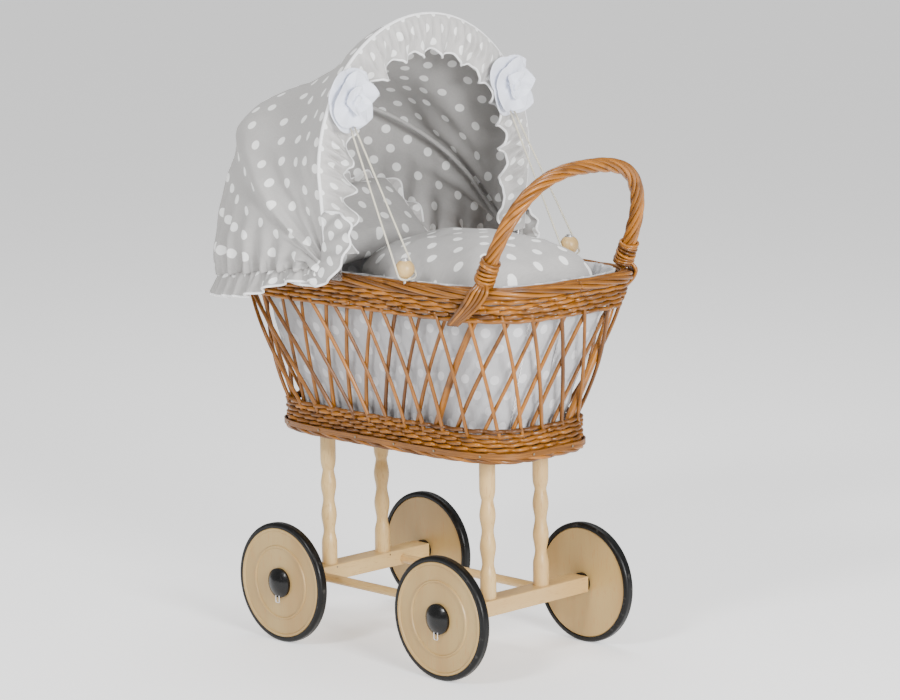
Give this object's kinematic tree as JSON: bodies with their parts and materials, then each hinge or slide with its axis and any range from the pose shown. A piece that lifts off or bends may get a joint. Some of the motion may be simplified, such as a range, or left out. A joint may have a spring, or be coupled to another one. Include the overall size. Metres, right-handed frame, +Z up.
{
  "type": "doll stroller",
  "caption": "Wicker doll's pram: willow basket on turned beech legs, wooden disc wheels with rubber tyres, woven push handle and folding fabric hood.",
  "frame": {"origin": "on the floor under the middle of the four wheels", "axes": "+Z up, +X toward the push handle, the hood and the doll's head at -X, +Y to the right of someone pushing it"},
  "size_m": [0.4802, 0.311, 0.6725],
  "materials": {
    "beech": "clear lacquered beech, satin",
    "beech_disc": "lacquered beech plywood disc, satin",
    "beech_knob": "turned beech, satin lacquer",
    "plywood": "bare plywood",
    "willow": "stained and varnished willow, glossy",
    "steel": "bright zinc plated",
    "tyre": "smooth black rubber",
    "hub_plastic": "black moulded plastic",
    "grey_cotton": "printed cotton with pale dots",
    "frill_cotton": "gathered printed cotton with white binding",
    "liner_cotton": "thin cotton lining",
    "mattress_ticking": "white cotton over foam",
    "white_ribbon": "crisp white cotton voile",
    "elastic": "braided elastic"
  },
  "bodies": {
    "root": {"axle_beam_front": "beech", "axle_beam_rear": "beech", "axle_front": "steel", "axle_rear": "steel", "base_board": "plywood", "base_strip": "willow", "basket_liner": "liner_cotton", "duvet": "grey_cotton", "elastic_left": "elastic", "elastic_right": "elastic", "foot_border": "willow", "handle_arch": "willow", "handle_fans": "willow", "handle_stakes": "willow", "handle_wraps": "willow", "hood_brackets": "steel", "hood_canopy": "grey_cotton", "hood_pins": "steel", "hood_skirt": "grey_cotton", "knob_screws": "steel", "knobs": "beech_knob", "lattice_inner": "willow", "lattice_outer": "willow", "leg_front_left": "beech", "leg_front_right": "beech", "leg_nails": "steel", "leg_rear_left": "beech", "leg_rear_right": "beech", "leg_screws": "steel", "lower_band": "willow", "mattress": "mattress_ticking", "pillow": "grey_cotton", "rim_border": "willow", "side_rail_left": "beech", "side_rail_right": "beech", "strip_nails": "steel", "upper_band": "willow"},
    "hood_front": {"hood_hoop_front": "steel", "hood_frill": "frill_cotton", "bow_left": "white_ribbon", "bow_right": "white_ribbon"},
    "hood_middle": {"hood_hoop_middle": "steel"},
    "wheel_front_left": {"tyre_front_left": "tyre", "wheel_disc_front_left": "beech_disc", "hub_front_left": "hub_plastic"},
    "clip_front_left": {"hub_clip_front_left": "steel"},
    "wheel_front_right": {"tyre_front_right": "tyre", "wheel_disc_front_right": "beech_disc", "hub_front_right": "hub_plastic"},
    "clip_front_right": {"hub_clip_front_right": "steel"},
    "wheel_rear_left": {"tyre_rear_left": "tyre", "wheel_disc_rear_left": "beech_disc", "hub_rear_left": "hub_plastic"},
    "clip_rear_left": {"hub_clip_rear_left": "steel"},
    "wheel_rear_right": {"tyre_rear_right": "tyre", "wheel_disc_rear_right": "beech_disc", "hub_rear_right": "hub_plastic"},
    "clip_rear_right": {"hub_clip_rear_right": "steel"}
  },
  "joints": [
    {"name": "hood_fold", "type": "hinge", "parent": "root", "child": "hood_front", "pos_m": [-0.005, 0, 0.42], "axis": [0, 1, 0], "range_deg": [-66, 0], "stiffness_Nm_per_rad": 0.15, "springref_deg": 57.3, "deforming": ["hood_canopy", "hood_skirt", "elastic_left", "elastic_right"]},
    {"name": "hood_middle_fold", "type": "hinge", "parent": "root", "child": "hood_middle", "pos_m": [-0.005, 0, 0.42], "axis": [0, 1, 0], "range_deg": [-22, 0], "deforming": ["hood_canopy", "hood_skirt"]},
    {"name": "wheel_front_left_spin", "type": "hinge", "parent": "root", "child": "wheel_front_left", "pos_m": [-0.12, -0.109, 0.065], "axis": [0, 1, 0], "continuous": true},
    {"name": "clip_front_left_pull", "type": "slide", "parent": "wheel_front_left", "child": "clip_front_left", "axis": [0, 0, -1], "range_m": [0, 0.008]},
    {"name": "wheel_front_right_spin", "type": "hinge", "parent": "root", "child": "wheel_front_right", "pos_m": [-0.12, 0.109, 0.065], "axis": [0, 1, 0], "continuous": true},
    {"name": "clip_front_right_pull", "type": "slide", "parent": "wheel_front_right", "child": "clip_front_right", "axis": [0, 0, -1], "range_m": [0, 0.008]},
    {"name": "wheel_rear_left_spin", "type": "hinge", "parent": "root", "child": "wheel_rear_left", "pos_m": [0.12, -0.109, 0.065], "axis": [0, 1, 0], "continuous": true},
    {"name": "clip_rear_left_pull", "type": "slide", "parent": "wheel_rear_left", "child": "clip_rear_left", "axis": [0, 0, -1], "range_m": [0, 0.008]},
    {"name": "wheel_rear_right_spin", "type": "hinge", "parent": "root", "child": "wheel_rear_right", "pos_m": [0.12, 0.109, 0.065], "axis": [0, 1, 0], "continuous": true},
    {"name": "clip_rear_right_pull", "type": "slide", "parent": "wheel_rear_right", "child": "clip_rear_right", "axis": [0, 0, -1], "range_m": [0, 0.008]}
  ],
  "couplings": [
    {"joint": "hood_middle_fold", "follows": "hood_fold", "ratio": 0.33333}
  ]
}
